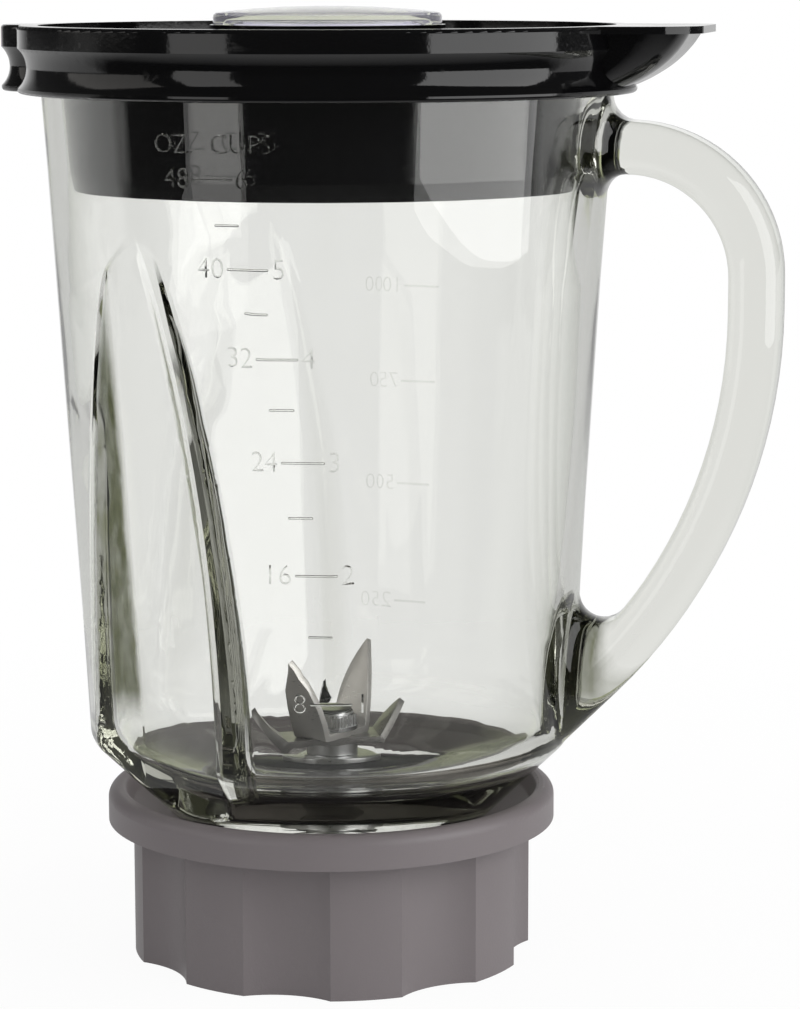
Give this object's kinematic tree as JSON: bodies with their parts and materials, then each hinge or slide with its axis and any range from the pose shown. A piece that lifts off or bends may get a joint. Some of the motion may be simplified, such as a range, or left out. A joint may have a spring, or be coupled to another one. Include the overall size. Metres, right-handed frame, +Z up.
{
  "type": "blender jar assembly",
  "caption": "Glass blender jar with handle, push-in black lid and clear filler cap, on a grey screw collar that holds the cutter unit with its blades and drive coupling.",
  "frame": {"origin": "on the jar's axis, at the surface that the collar stands on", "axes": "+Z up along the jar's axis, +X towards the handle"},
  "size_m": [0.1879, 0.146, 0.228],
  "materials": {
    "jar_glass": "fire-polished pressed glass",
    "lid_plastic": "glossy black moulding",
    "cap_plastic": "clear moulding",
    "collar_plastic": "satin grey moulding",
    "rubber": "black rubber",
    "base_plastic": "black moulding",
    "bronze": "sintered bronze",
    "felt": "oiled felt",
    "steel": "turned stainless steel",
    "blade_steel": "ground stainless steel",
    "nylon": "natural nylon",
    "coupling_plastic": "black moulding"
  },
  "bodies": {
    "jar": {"glass_jar": "jar_glass"},
    "lid": {"lid": "lid_plastic"},
    "filler_cap": {"filler_cap": "cap_plastic"},
    "cutter_unit": {"cutter_base": "base_plastic", "jar_gasket": "rubber", "upper_bushing": "bronze", "lower_bushing": "bronze", "oil_felt": "felt", "shaft_seal": "rubber", "seal_cover": "steel", "thrust_washer": "nylon"},
    "collar": {"collar": "collar_plastic"},
    "rotor": {"drive_shaft": "steel", "shaft_clip": "steel", "drive_coupling": "coupling_plastic", "coupling_insert": "steel", "blade_spacer": "steel", "lower_blade": "blade_steel", "upper_blade": "blade_steel", "blade_washer": "steel", "cap_nut": "steel"}
  },
  "joints": [
    {"name": "lid_lift", "type": "slide", "parent": "jar", "child": "lid", "axis": [0, 0, 1], "range_m": [0, 0.04]},
    {"name": "cap_lift", "type": "slide", "parent": "lid", "child": "filler_cap", "axis": [0, 0, 1], "range_m": [0, 0.022]},
    {"name": "collar_drop", "type": "slide", "parent": "jar", "child": "cutter_unit", "axis": [0, 0, -1], "range_m": [0, 0.00751]},
    {"name": "collar_turn", "type": "hinge", "parent": "cutter_unit", "child": "collar", "pos_m": [0, 0, 0.02], "axis": [0, 0, -1], "range_deg": [0, 540]},
    {"name": "blade_spin", "type": "hinge", "parent": "cutter_unit", "child": "rotor", "pos_m": [0, 0, 0.04], "axis": [0, 0, 1], "continuous": true}
  ],
  "couplings": [
    {"joint": "collar_drop", "follows": "collar_turn", "m_per_rad": 0.00079577}
  ]
}
